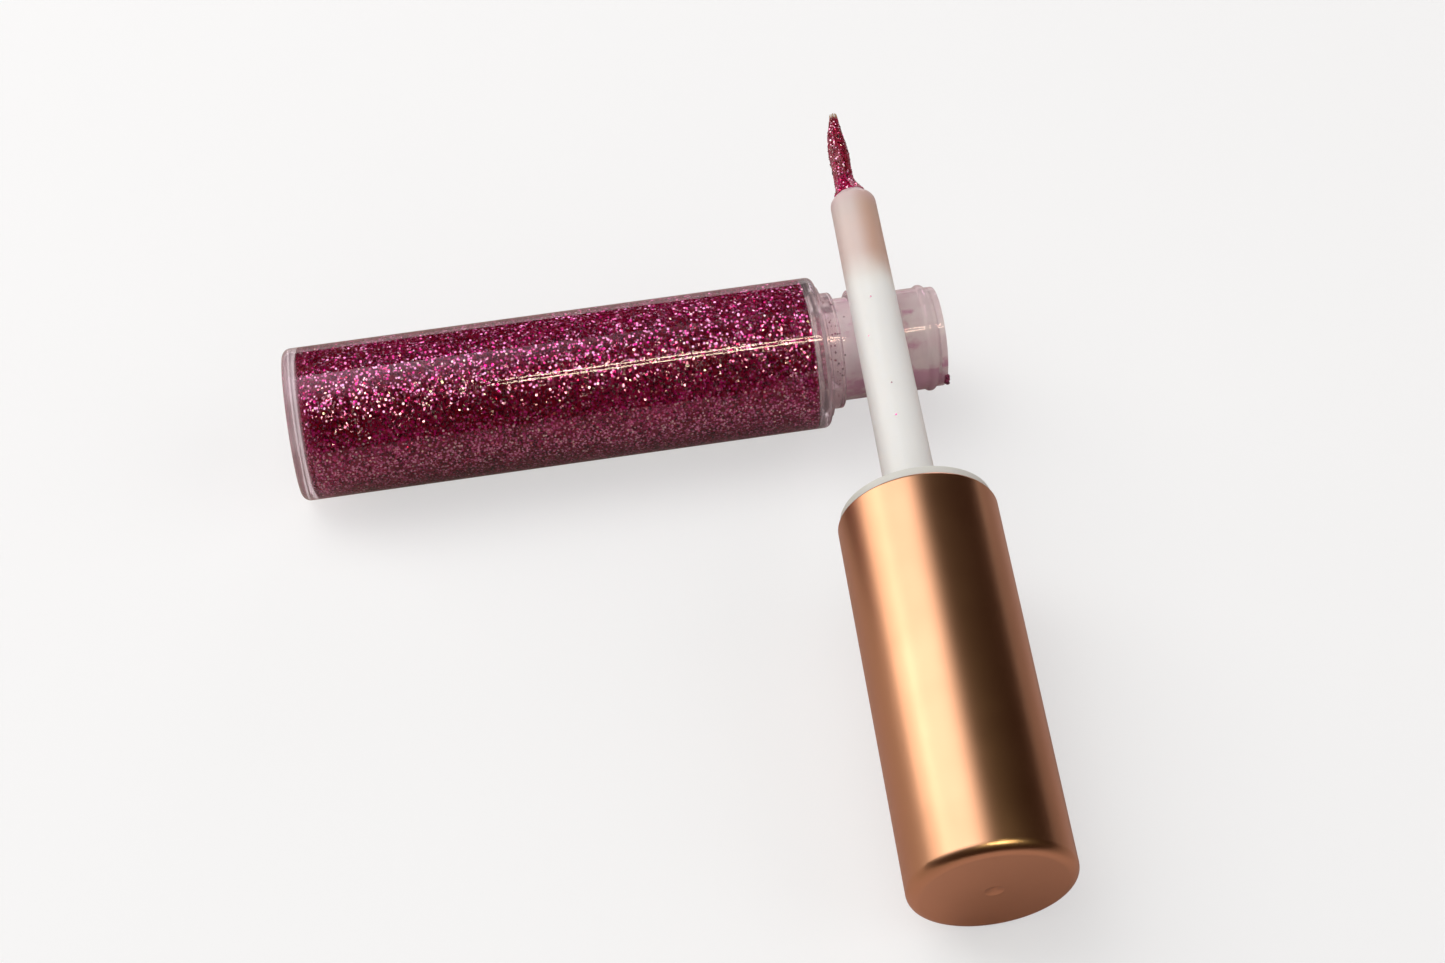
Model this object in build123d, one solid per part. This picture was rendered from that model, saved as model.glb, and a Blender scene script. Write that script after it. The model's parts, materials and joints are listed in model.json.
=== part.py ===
"""Lip gloss tube, lying open on a flat surface: a clear bottle of glitter gloss on its side,
and its screw cap with stem and brush, which lies across the bottle's neck.

Millimetres, +Z up. The bottle's axis runs along X with the mouth towards +X, and the brush
points towards +Y. The origin is on the surface, in the middle of the whole object's footprint.
"""
from build123d import *
import math
import os

# Bottle: clear thick-walled tube. Heights are measured along its axis from the outside of the base.
BODY_RADIUS = 8.0
BODY_HEIGHT = 55.9
BASE_ROUND = 0.9
BODY_END_ROUND = 0.7
BASE_THICKNESS = 1.1
WALL = 1.8
FLOOR_ROUND = 3.5
SHOULDER_RADIUS = 6.9          # low step that the closed cap lands on
SHOULDER_HEIGHT = 56.2
FLANGE_RADIUS = 6.15
FLANGE_THICKNESS = 1.4
FLANGE_ROUND = 0.3
NECK_RADIUS = 5.42
LIP_RADIUS = 5.28
LIP_ROUND = 0.25
MOUTH_HEIGHT = 68.6
NECK_BORE = 4.1
CAVITY_TOP = 54.7              # the cavity narrows from here to the neck's bore
BORE_START = 55.3
CAVITY_TOP_ROUND = 0.4
BEAD_RADIUS = 5.65             # rounded bead just behind the lip
BEAD_HEIGHT = 67.0
BEAD_HALF_WIDTH = 0.65
FILL_HEIGHT = 55.6             # level of the gloss

# Screw thread, the same helix on the neck and inside the cap.
THREAD_PITCH = 2.4
THREAD_TURNS = 1.5
THREAD_FIRST_TURN = 60.0       # where the ridge first crosses the top of the lying bottle
THREAD_LEAD = 70               # degrees of ridge before that crossing
THREAD_CREST = 6.1
THREAD_FOOT_WIDTH = 1.5
THREAD_TIP_WIDTH = 0.5
CAP_THREAD_CREST = 5.75
CAP_THREAD_FOOT_WIDTH = 0.9
CAP_THREAD_TIP_WIDTH = 0.4
SINK = 0.3                     # how far a ridge's foot is buried in the wall that carries it
RAMP_SLOPE = 60                # degrees between a ridge's sloping end and its full section
RAMP_SIZE = 4.0

# Wiper: natural polyethylene plug in the neck, which strips the stem as it is drawn out.
WIPER_RIM_RADIUS = 4.6
WIPER_RIM_THICKNESS = 0.6
WIPER_BORE = 3.5
WIPER_SLEEVE = 11.2            # length of the straight bore, from the mouth
WIPER_FUNNEL = 0.9
WIPER_LIP_BORE = 2.7
WIPER_LENGTH = 12.6
WIPER_LIP_WALL = 0.45

# Applicator. Heights are measured along its axis from the outside of the cap's closed end.
CAP_RADIUS = 7.9
CAP_LENGTH = 40.3
CAP_WALL = 0.4
CAP_END_WALL = 0.7
CAP_END_ROUND = 1.1
CAP_RIM_ROUND = 0.25
DIMPLE_RADIUS = 0.9
DIMPLE_DEPTH = 0.15
INNER_CAP_PROUD = 0.5          # how far the white inner cap stands out of the metal shell
INNER_CAP_WALL = 0.9
INNER_CAP_BORE = 6.35
ROOF_THICKNESS = 1.0
SEAL_THICKNESS = 0.8
SEAL_RADIUS = 5.5
RUNNING_GAP = 0.03             # clearance all round the seal, which lies loose under the roof
SOCKET_RADIUS = 3.9
SOCKET_LENGTH = 8.0
BARB_RADIUS = 3.2
BARB_LENGTH = 1.4
STEM_RADIUS_AT_RIM = 2.62
STEM_RADIUS_AT_TIP = 2.42
STEM_REACH = 41.7              # from the shell's rim to the stem's end
STEM_TAPER = 1.2               # length of the cone that ends the stem
STEM_TAPER_RADIUS = 1.45       # where that cone meets the brush
STEM_ROUND = 0.8
FERRULE_RADIUS = 1.35
FERRULE_BORE = 1.05
FERRULE_LENGTH = 3.6
BRUSH_REACH = 53.2             # from the shell's rim to the brush's tip

# How the two halves lie.
STEM_CROSSES_AT = 61.2         # along the bottle's axis
STEM_CROSSES_FROM_CAP = 69.4   # along the applicator's axis, from the cap's closed end
TURN_FROM_SQUARE = 1.84        # degrees that the applicator is off square to the bottle
REST_GAP = 0.1                 # between the stem and the two thread crests that it lies across


def turned(*outline):
    """Solid of revolution about local Z from a closed outline of (radius, height) corners."""
    corners = [(radius, 0, height) for radius, height in outline]
    return revolve(make_face(Polyline(*corners, close=True)), axis=Axis.Z)


def tube(outer, inner, low, high):
    """Plain round tube about local Z."""
    return turned((inner, low), (outer, low), (outer, high), (inner, high))


def ring_edges(solid, radius, height):
    """The circular edge of a turned solid at this radius and height."""
    return [
        edge
        for edge in solid.edges().filter_by(GeomType.CIRCLE)
        if abs(edge.radius - radius) < 0.01 and abs(edge.arc_center.Z - height) < 0.01
    ]


def rounded(solid, *rings):
    """Fillets of a turned solid, each ring given as (radius, height, fillet)."""
    for radius, height, size in rings:
        solid = fillet(ring_edges(solid, radius, height), size)
    return solid


def end_ramp(foot_radius, reach, turn, height):
    """Block that slopes off one end of a ridge, so that the thread starts from nothing."""
    side = 1 if turn == 0 else -1
    block = Pos(0, -side * RAMP_SIZE / 2, 0) * Box(RAMP_SIZE, RAMP_SIZE, THREAD_PITCH * 0.9)
    slope = -side * math.copysign(RAMP_SLOPE, reach)
    foot = foot_radius - math.copysign(0.05, reach)
    return Pos(0, 0, height) * Rot(0, 0, 360 * turn) * Pos(foot, 0, 0) * Rot(0, 0, slope) * block


def thread_ridge(foot_radius, crest_radius, foot_width, tip_width, first_turn):
    """Helical ridge of trapezoid section; a crest radius below the foot radius points inwards."""
    start = first_turn - THREAD_PITCH * THREAD_LEAD / 360
    rise = THREAD_PITCH * THREAD_TURNS
    path = Helix(THREAD_PITCH, rise, foot_radius, center=(0, 0, start))
    reach = crest_radius - foot_radius
    buried = -math.copysign(SINK, reach)
    section = Plane(origin=path @ 0, x_dir=(1, 0, 0), z_dir=path % 0) * make_face(
        Polyline(
            (buried, -foot_width / 2),
            (reach, -tip_width / 2),
            (reach, tip_width / 2),
            (buried, foot_width / 2),
            close=True,
        )
    )
    ridge = sweep(section, path=path, is_frenet=True)
    first = end_ramp(foot_radius, reach, 0, start)
    last = end_ramp(foot_radius, reach, THREAD_TURNS, start + rise)
    return Rot(0, 0, -THREAD_LEAD) * (ridge - first - last)


def neck_thread():
    return thread_ridge(NECK_RADIUS, THREAD_CREST, THREAD_FOOT_WIDTH, THREAD_TIP_WIDTH, THREAD_FIRST_TURN)


def cavity():
    """The space inside the bottle, from the floor to the mouth."""
    inner = BODY_RADIUS - WALL
    space = turned(
        (0, BASE_THICKNESS), (inner, BASE_THICKNESS), (inner, CAVITY_TOP), (NECK_BORE, BORE_START),
        (NECK_BORE, MOUTH_HEIGHT - WIPER_RIM_THICKNESS), (WIPER_RIM_RADIUS, MOUTH_HEIGHT - WIPER_RIM_THICKNESS),
        (WIPER_RIM_RADIUS, MOUTH_HEIGHT), (0, MOUTH_HEIGHT),
    )
    return rounded(space, (inner, BASE_THICKNESS, FLOOR_ROUND), (inner, CAVITY_TOP, CAVITY_TOP_ROUND))


def bottle():
    """Clear bottle with base, shoulder step, flange, threaded neck and bead."""
    flange_top = SHOULDER_HEIGHT + FLANGE_THICKNESS
    body = turned(
        (0, 0), (BODY_RADIUS, 0), (BODY_RADIUS, BODY_HEIGHT), (SHOULDER_RADIUS, BODY_HEIGHT),
        (SHOULDER_RADIUS, SHOULDER_HEIGHT), (FLANGE_RADIUS, SHOULDER_HEIGHT), (FLANGE_RADIUS, flange_top),
        (NECK_RADIUS, flange_top), (NECK_RADIUS, BEAD_HEIGHT), (LIP_RADIUS, BEAD_HEIGHT),
        (LIP_RADIUS, MOUTH_HEIGHT), (0, MOUTH_HEIGHT),
    )
    body = rounded(
        body,
        (BODY_RADIUS, 0, BASE_ROUND),
        (BODY_RADIUS, BODY_HEIGHT, BODY_END_ROUND),
        (FLANGE_RADIUS, flange_top, FLANGE_ROUND),
        (LIP_RADIUS, MOUTH_HEIGHT, LIP_ROUND),
    )
    low = (LIP_RADIUS - SINK, 0, BEAD_HEIGHT - BEAD_HALF_WIDTH)
    high = (LIP_RADIUS - SINK, 0, BEAD_HEIGHT + BEAD_HALF_WIDTH)
    bead_arc = ThreePointArc(low, (BEAD_RADIUS, 0, BEAD_HEIGHT), high)
    bead = revolve(make_face(bead_arc + Line(high, low)), axis=Axis.Z)
    return body + bead + neck_thread() - cavity()


def gloss_fill():
    """Glitter gel that fills the cavity up to the shoulder."""
    return cavity() & turned((0, 0), (BODY_RADIUS, 0), (BODY_RADIUS, FILL_HEIGHT), (0, FILL_HEIGHT))


def wiper():
    """Sleeve with a rim flush in the mouth and a funnel that ends in the wiping lip."""
    rim_low = MOUTH_HEIGHT - WIPER_RIM_THICKNESS
    sleeve_low = MOUTH_HEIGHT - WIPER_SLEEVE
    lip_low = MOUTH_HEIGHT - WIPER_LENGTH
    lip_high = sleeve_low - WIPER_FUNNEL
    return turned(
        (WIPER_BORE, MOUTH_HEIGHT), (WIPER_RIM_RADIUS, MOUTH_HEIGHT), (WIPER_RIM_RADIUS, rim_low),
        (NECK_BORE, rim_low), (NECK_BORE, sleeve_low), (WIPER_LIP_BORE + WIPER_LIP_WALL, lip_high),
        (WIPER_LIP_BORE + WIPER_LIP_WALL, lip_low), (WIPER_LIP_BORE, lip_low),
        (WIPER_LIP_BORE, lip_high), (WIPER_BORE, sleeve_low),
    )


# Heights inside the applicator, along its axis.
INNER_CAP_MOUTH = CAP_LENGTH + INNER_CAP_PROUD
NECK_DEPTH = MOUTH_HEIGHT - SHOULDER_HEIGHT
ROOF = INNER_CAP_MOUTH - NECK_DEPTH - SEAL_THICKNESS - RUNNING_GAP
ROOF_TOP = ROOF - ROOF_THICKNESS
SOCKET_END = ROOF_TOP - SOCKET_LENGTH
STEM_END = CAP_LENGTH + STEM_REACH
BRUSH_TIP = CAP_LENGTH + BRUSH_REACH
SHELL_BORE = CAP_RADIUS - CAP_WALL


def stem_radius(height):
    """Radius of the tapered stem at a height on the applicator's axis."""
    share = (height - CAP_LENGTH) / STEM_REACH
    return STEM_RADIUS_AT_RIM + (STEM_RADIUS_AT_TIP - STEM_RADIUS_AT_RIM) * share


def cap_shell():
    """Thin drawn metal shell with one closed end."""
    shell = turned(
        (0, 0), (CAP_RADIUS, 0), (CAP_RADIUS, CAP_LENGTH), (SHELL_BORE, CAP_LENGTH),
        (SHELL_BORE, CAP_END_WALL), (0, CAP_END_WALL),
    )
    shell = rounded(shell, (CAP_RADIUS, 0, CAP_END_ROUND), (CAP_RADIUS, CAP_LENGTH, CAP_RIM_ROUND))
    ball_radius = (DIMPLE_RADIUS**2 + DIMPLE_DEPTH**2) / (2 * DIMPLE_DEPTH)
    return shell - Pos(0, 0, DIMPLE_DEPTH - ball_radius) * Sphere(ball_radius)


def inner_cap():
    """White plastic inner cap: threaded mouth, roof, stem socket, and a skirt up to the closed end."""
    socket_bore = stem_radius(ROOF)
    cap = turned(
        (INNER_CAP_BORE, INNER_CAP_MOUTH), (SHELL_BORE, INNER_CAP_MOUTH), (SHELL_BORE, CAP_END_WALL),
        (SHELL_BORE - INNER_CAP_WALL, CAP_END_WALL), (SHELL_BORE - INNER_CAP_WALL, ROOF_TOP),
        (SOCKET_RADIUS, ROOF_TOP), (SOCKET_RADIUS, SOCKET_END), (socket_bore, SOCKET_END),
        (socket_bore, ROOF), (INNER_CAP_BORE, ROOF),
    )
    cap = rounded(cap, (SHELL_BORE, INNER_CAP_MOUTH, 0.2))
    ridge = thread_ridge(
        INNER_CAP_BORE, CAP_THREAD_CREST, CAP_THREAD_FOOT_WIDTH, CAP_THREAD_TIP_WIDTH,
        THREAD_FIRST_TURN + THREAD_PITCH / 2,
    )
    return cap + CLOSED.inverse() * ridge


def seal_ring():
    """Soft ring under the roof, which the bottle's lip presses on when the cap is screwed down."""
    low = ROOF + RUNNING_GAP
    return tube(SEAL_RADIUS, stem_radius(low) + RUNNING_GAP, low, low + SEAL_THICKNESS)


def stem():
    """Tapered plastic rod, snapped into the socket with a barb, and bored for the brush."""
    bore_floor = STEM_END - FERRULE_LENGTH
    taper_start = STEM_END - STEM_TAPER
    rod = turned(
        (0, SOCKET_END - BARB_LENGTH), (STEM_RADIUS_AT_TIP, SOCKET_END - BARB_LENGTH), (BARB_RADIUS, SOCKET_END),
        (stem_radius(ROOF), SOCKET_END), (stem_radius(ROOF), ROOF), (STEM_RADIUS_AT_TIP, taper_start),
        (STEM_TAPER_RADIUS, STEM_END), (FERRULE_RADIUS, STEM_END), (FERRULE_RADIUS, bore_floor),
        (0, bore_floor),
    )
    return rounded(rod, (STEM_RADIUS_AT_TIP, taper_start, STEM_ROUND))


def brush_ferrule():
    """Metal tube that binds the bristles and holds them in the stem's bore."""
    return tube(FERRULE_RADIUS, FERRULE_BORE, STEM_END - FERRULE_LENGTH, STEM_END)


def brush_tuft():
    """Bristle bundle: straight root, slight waist, full belly and a narrow tip, leaning to one side."""
    root = Pos(0, 0, STEM_END - FERRULE_LENGTH) * Cylinder(
        FERRULE_BORE, FERRULE_LENGTH, align=(Align.CENTER, Align.CENTER, Align.MIN)
    )
    length = BRUSH_TIP - STEM_END
    stations = [(0, FERRULE_BORE), (0.15, 1.05), (0.3, 1.0), (0.52, 1.1), (0.75, 0.8), (0.92, 0.45), (1, 0.2)]
    lean = 0.3
    sections = [
        Pos(lean * math.sin(math.pi / 2 * min(1, 2.5 * share)) ** 2, 0, STEM_END + length * share)
        * Circle(radius)
        for share, radius in stations
    ]
    return root + loft(sections)


def closed_end_height(tilt):
    """Height of the closed end's centre when its rounded edge touches the floor at this tilt."""
    return (CAP_RADIUS - CAP_END_ROUND) * math.cos(tilt) + CAP_END_ROUND * (1 - math.sin(tilt))


def resting_tilt():
    """Slope at which the cap's closed end touches the floor while the stem lies on the thread."""
    across = math.radians(TURN_FROM_SQUARE)
    half_valley = (THREAD_PITCH - THREAD_TIP_WIDTH) / 2
    stem_drop = math.sqrt(stem_radius(STEM_CROSSES_FROM_CAP) ** 2 - half_valley**2)
    spacing = THREAD_CREST + stem_drop + REST_GAP
    tilt = 0.1
    for _ in range(30):
        run = math.cos(tilt) * math.cos(across)
        rise = BODY_RADIUS + spacing * math.hypot(run, math.sin(tilt)) / run
        tilt = math.asin((rise - closed_end_height(tilt)) / STEM_CROSSES_FROM_CAP)
    return tilt


def lying_bottle():
    """Bottle on its side on the floor; its local X points up."""
    return Plane(origin=(0, 0, BODY_RADIUS), x_dir=(0, 0, 1), z_dir=(1, 0, 0)).location


def lying_applicator():
    """Applicator across the neck; its local X points back along the bottle."""
    tilt = resting_tilt()
    across = math.radians(TURN_FROM_SQUARE)
    along = Vector(math.cos(tilt) * math.sin(across), math.cos(tilt) * math.cos(across), math.sin(tilt))
    closed_end = Vector(STEM_CROSSES_AT, 0, closed_end_height(tilt))
    start = closed_end - Vector(along.X, along.Y) * STEM_CROSSES_FROM_CAP
    return Plane(origin=start, x_dir=(-along.Y, along.X, 0), z_dir=along).location


# The applicator's place in the bottle's own frame when the cap is screwed home.
CLOSED = Plane(origin=(0, 0, SHOULDER_HEIGHT + INNER_CAP_MOUTH), x_dir=(1, 0, 0), z_dir=(0, 0, -1)).location

BOTTLE_PARTS = {"bottle": bottle, "wiper": wiper, "gloss_fill": gloss_fill}
APPLICATOR_PARTS = {
    "cap_shell": cap_shell,
    "inner_cap": inner_cap,
    "seal_ring": seal_ring,
    "stem": stem,
    "brush_ferrule": brush_ferrule,
    "brush_tuft": brush_tuft,
}


def footprint_centre(parts):
    """Middle of the whole object's footprint, on the floor."""
    boxes = [solid.bounding_box() for solid in parts.values()]
    low = Vector(min(box.min.X for box in boxes), min(box.min.Y for box in boxes))
    high = Vector(max(box.max.X for box in boxes), max(box.max.Y for box in boxes))
    return (low + high) / 2


parts = {name: lying_bottle() * make() for name, make in BOTTLE_PARTS.items()}
parts |= {name: lying_applicator() * make() for name, make in APPLICATOR_PARTS.items()}
ORIGIN = footprint_centre(parts)

os.makedirs("parts", exist_ok=True)
for name, solid in parts.items():
    export_step(Pos(-ORIGIN.X, -ORIGIN.Y, 0) * solid, f"parts/{name}.step")
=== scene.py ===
"""Looks for the open lip gloss tube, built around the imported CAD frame. Metres, in the frame's axes."""
import json
import math

import bmesh
import bpy
import numpy as np
from mathutils import Euler, Matrix, Vector


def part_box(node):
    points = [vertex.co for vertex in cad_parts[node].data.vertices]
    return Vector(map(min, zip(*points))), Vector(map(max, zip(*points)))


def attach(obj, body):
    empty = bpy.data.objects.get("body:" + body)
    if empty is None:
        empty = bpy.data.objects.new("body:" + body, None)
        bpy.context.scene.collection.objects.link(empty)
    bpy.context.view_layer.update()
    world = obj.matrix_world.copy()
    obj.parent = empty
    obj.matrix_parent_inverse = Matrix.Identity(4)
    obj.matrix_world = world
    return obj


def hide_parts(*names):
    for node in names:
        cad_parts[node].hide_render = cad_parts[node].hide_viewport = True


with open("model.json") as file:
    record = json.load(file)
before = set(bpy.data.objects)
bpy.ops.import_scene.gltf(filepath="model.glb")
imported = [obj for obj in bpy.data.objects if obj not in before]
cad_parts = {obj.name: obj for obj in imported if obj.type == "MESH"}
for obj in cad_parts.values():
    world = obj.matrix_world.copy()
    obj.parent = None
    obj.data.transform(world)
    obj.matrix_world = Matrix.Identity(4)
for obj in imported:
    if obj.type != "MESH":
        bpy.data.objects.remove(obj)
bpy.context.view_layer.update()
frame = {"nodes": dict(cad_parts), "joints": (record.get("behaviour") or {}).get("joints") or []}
scene = bpy.context.scene
MM = 0.001

# ---------------------------------------------------------------- places read from the frame

JOINTS = {joint["name"]: joint for joint in frame["joints"]}
APPLICATOR_START = Vector(JOINTS["cap_spin"]["pos_m"])
APPLICATOR_AXIS = Vector(JOINTS["cap_spin"]["axis"]).normalized()


def axial_range(node, start, axis):
    """Lowest and highest place of a CAD node along an axis, from start, in metres."""
    along = [(vertex.co - start).dot(axis) for vertex in frame["nodes"][node].data.vertices]
    return min(along), max(along)


def largest_radius(node, start, axis):
    """Largest distance of a CAD node's vertices from an axis, in metres."""
    offsets = (vertex.co - start for vertex in frame["nodes"][node].data.vertices)
    return max((offset - axis * offset.dot(axis)).length for offset in offsets)


bottle_low, bottle_high = (Vector(corner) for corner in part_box("bottle"))
BODY_RADIUS = (bottle_high.z - bottle_low.z) / 2
BOTTLE_START = Vector((bottle_low.x, (bottle_low.y + bottle_high.y) / 2, BODY_RADIUS))
BOTTLE_AXIS = Vector((1, 0, 0))
STEM_END = axial_range("stem", APPLICATOR_START, APPLICATOR_AXIS)[1]
BRUSH_TIP = axial_range("brush_tuft", APPLICATOR_START, APPLICATOR_AXIS)[1]


def axis_frame(start, axis, side):
    """Matrix whose local Z runs along an axis and whose local X is as near as can be to side."""
    across = (side - axis * side.dot(axis)).normalized()
    turn = Matrix((across, axis.cross(across), axis)).transposed()
    return Matrix.Translation(start) @ turn.to_4x4()


BOTTLE_FRAME = axis_frame(BOTTLE_START, BOTTLE_AXIS, Vector((0, 0, 1)))
APPLICATOR_FRAME = axis_frame(APPLICATOR_START, APPLICATOR_AXIS, Vector((-1, 0, 0)))


# ---------------------------------------------------------------- node trees

class Tree:
    """A material's or world's node tree, with short calls for adding and joining nodes."""

    def __init__(self, owner):
        owner.use_nodes = True
        self.nodes = owner.node_tree.nodes
        self.links = owner.node_tree.links
        self.nodes.clear()

    def add(self, kind, values=(), **settings):
        """Adds a node: settings are its properties, values go to its inputs by their names."""
        node = self.nodes.new(kind)
        for name, value in settings.items():
            setattr(node, name, value)
        for name, value in dict(values).items():
            self.put(value, node.inputs[name])
        return node

    def put(self, value, socket):
        """Sets a socket, or joins it when the value is another node's output."""
        if isinstance(value, bpy.types.NodeSocket):
            self.links.new(value, socket)
        elif socket.type == "RGBA" and len(value) == 3:
            socket.default_value = (*value, 1)
        else:
            socket.default_value = value

    def calculate(self, kind, operation, inputs):
        """Adds a node that works on these inputs in order; gives back its first output."""
        node = self.nodes.new(kind)
        node.operation = operation
        for value, socket in zip(inputs, node.inputs):
            self.put(value, socket)
        return node.outputs[0]

    def math(self, operation, *inputs):
        return self.calculate("ShaderNodeMath", operation, inputs)

    def vector(self, operation, *inputs):
        return self.calculate("ShaderNodeVectorMath", operation, inputs)

    def scaled(self, vector, factor):
        """A vector times a number."""
        values = {"Vector": vector, "Scale": factor}
        return self.add("ShaderNodeVectorMath", values, operation="SCALE").outputs[0]

    def ramp(self, value, low, high, to_low=0.0, to_high=1.0):
        """Smooth step from one value to another, held at both ends."""
        values = {"Value": value, "From Min": low, "From Max": high, "To Min": to_low, "To Max": to_high}
        return self.add("ShaderNodeMapRange", values, interpolation_type="SMOOTHSTEP").outputs["Result"]

    def mix(self, factor, first, second):
        """Mixes two colours: the first at factor 0, the second at 1."""
        node = self.nodes.new("ShaderNodeMix")
        node.data_type = "RGBA"
        sockets = [socket for socket in node.inputs if socket.type == "RGBA"]
        self.put(factor, node.inputs["Factor"])
        self.put(first, sockets[0])
        self.put(second, sockets[1])
        return next(socket for socket in node.outputs if socket.type == "RGBA")

    def mix_shaders(self, factor, first, second):
        """Mixes two shaders: the first at factor 0, the second at 1."""
        node = self.add("ShaderNodeMixShader", {"Fac": factor})
        self.links.new(first, node.inputs[1])
        self.links.new(second, node.inputs[2])
        return node.outputs[0]

    def noise(self, scale, detail=2.0, roughness=0.5, vector=None):
        """Noise from 0 to 1, with about scale clouds side by side in a metre."""
        values = {"Scale": scale, "Detail": detail, "Roughness": roughness}
        values["Vector"] = self.position() if vector is None else vector
        return self.add("ShaderNodeTexNoise", values).outputs["Fac"]

    def position(self):
        """Place in the object's own coordinates, in metres."""
        return self.add("ShaderNodeTexCoord").outputs["Object"]

    def bump(self, height, distance, strength):
        values = {"Height": height, "Distance": distance, "Strength": strength}
        return self.add("ShaderNodeBump", values).outputs["Normal"]

    def finish(self, shader, kind="ShaderNodeOutputMaterial"):
        output = self.add(kind)
        self.links.new(shader, output.inputs["Surface"])


def principled(tree, values):
    return tree.add("ShaderNodeBsdfPrincipled", values).outputs["BSDF"]


def material(name):
    made = bpy.data.materials.new(name)
    return made, Tree(made)


def see_through(tree, shader, tint):
    """Glass that lets lamps through, so that what is inside it is lit."""
    is_shadow = tree.add("ShaderNodeLightPath").outputs["Is Shadow Ray"]
    clear = tree.add("ShaderNodeBsdfTransparent", {"Color": tint}).outputs["BSDF"]
    return tree.mix_shaders(is_shadow, shader, clear)


# ---------------------------------------------------------------- materials

BASE_MILKY_TO, BASE_CLEAR_FROM = 1.2 * MM, 1.7 * MM          # above the base's underside
NECK_CLEAR_TO, NECK_MILKY_FROM = 14.6 * MM, 12.6 * MM        # below the mouth


def clear_plastic():
    """Clear PETG, slightly milky at the base's edge and where the neck's stained bore shows through it."""
    made, tree = material("clear_petg")
    place = tree.position()
    x = tree.add("ShaderNodeSeparateXYZ", {"Vector": place}).outputs["X"]
    across = tree.vector("MULTIPLY", tree.vector("SUBTRACT", place, tuple(BOTTLE_START)), (0, 1, 1))
    from_axis = tree.add("ShaderNodeVectorMath", {"Vector": across}, operation="LENGTH").outputs["Value"]
    edge = tree.ramp(from_axis, 5.5 * MM, 7.5 * MM, 0.05, 0.40)
    near_base = tree.ramp(x, bottle_low.x + BASE_MILKY_TO, bottle_low.x + BASE_CLEAR_FROM, 1.0, 0.0)
    base = tree.math("MULTIPLY", edge, near_base)
    neck = tree.ramp(x, bottle_high.x - NECK_CLEAR_TO, bottle_high.x - NECK_MILKY_FROM, 0.0, 0.17)
    cloud = tree.ramp(tree.noise(300, 2.0), 0.3, 0.7, 0.8, 1.2)
    milky = tree.math("MULTIPLY", tree.math("ADD", base, neck), cloud)
    shader = principled(tree, {
        "Base Color": tree.mix(tree.ramp(milky, 0.0, 0.15), (0.98, 0.95, 0.96), (0.95, 0.80, 0.85)),
        "Roughness": 0.08,
        "IOR": 1.57,
        "Specular Tint": (1.0, 0.68, 0.88),
        "Transmission Weight": tree.math("SUBTRACT", 1.0, milky),
    })
    tree.finish(see_through(tree, shader, (0.97, 0.95, 0.96)))
    return made


FLAKE_SIZE = 0.25 * MM
FLAKE_TILT = 0.55
FLAKE_REACH = 0.52             # share of its cell that a flake fills


def glitter_gel():
    """Crimson gel packed with flat flakes: each cell of a fine pattern is a mirror with its own tilt."""
    made, tree = material("glitter_gel")
    place = tree.position()
    cells = tree.add("ShaderNodeTexVoronoi", {"Vector": place, "Scale": 1 / FLAKE_SIZE, "Randomness": 1.0})
    random = tree.add("ShaderNodeSeparateColor", {"Color": cells.outputs["Color"]})
    tilt = tree.scaled(tree.vector("SUBTRACT", cells.outputs["Color"], (0.5, 0.5, 0.5)), FLAKE_TILT)
    normal = tree.add("ShaderNodeNewGeometry").outputs["Normal"]
    tilted = tree.vector("NORMALIZE", tree.vector("ADD", normal, tilt))
    is_flake = tree.math("LESS_THAN", cells.outputs["Distance"], FLAKE_REACH)
    paleness = tree.math("POWER", random.outputs["Blue"], 2.2)
    pink = tree.mix(paleness, (0.60, 0.006, 0.22), (0.93, 0.41, 0.70))
    warm = tree.ramp(random.outputs["Green"], 0.95, 0.97)
    flake = tree.mix(warm, pink, (1.0, 0.60, 0.66))
    cloud = tree.ramp(tree.noise(260, 2.0), 0.35, 0.65)
    gel = tree.mix(cloud, (0.12, 0.0, 0.008), (0.20, 0.001, 0.030))
    shader = principled(tree, {
        "Base Color": tree.mix(is_flake, gel, flake),
        "Metallic": is_flake,
        "Roughness": 0.15,
        "Normal": tilted,
    })
    tree.finish(shader)
    return made


def flake_metal():
    """Mirror-like polyester glitter; each flake carries its own colour."""
    made, tree = material("glitter_flake")
    colour = tree.add("ShaderNodeAttribute", attribute_name="flake_colour").outputs["Color"]
    tree.finish(principled(tree, {"Base Color": colour, "Metallic": 1.0, "Roughness": 0.18}))
    return made


def copper():
    """Satin copper-coloured anodised metal with faint clouds in its colour and gloss."""
    made, tree = material("satin_copper")
    place = tree.position()
    cloud = tree.noise(90, 3.0, 0.6, place)
    colour = tree.mix(tree.ramp(cloud, 0.35, 0.7, 0.0, 0.5), (0.84, 0.432, 0.25), (0.79, 0.405, 0.232))
    shader = principled(tree, {
        "Base Color": colour,
        "Metallic": 1.0,
        "Roughness": tree.ramp(cloud, 0.3, 0.7, 0.30, 0.34),
        "Coat Weight": 0.12,
        "Coat Roughness": 0.35,
    })
    tree.finish(shader)
    return made


def white_plastic():
    """Moulded white polypropylene with the fine grain of its mould."""
    made, tree = material("white_polypropylene")
    shader = principled(tree, {
        "Base Color": (0.74, 0.74, 0.69),
        "Roughness": 0.38,
        "Subsurface Weight": 0.25,
        "Subsurface Radius": (1.0, 1.0, 0.9),
        "Subsurface Scale": 0.0008,
        "Normal": tree.bump(tree.noise(4000, 2.0), 0.000004, 0.4),
    })
    tree.finish(shader)
    return made


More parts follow.
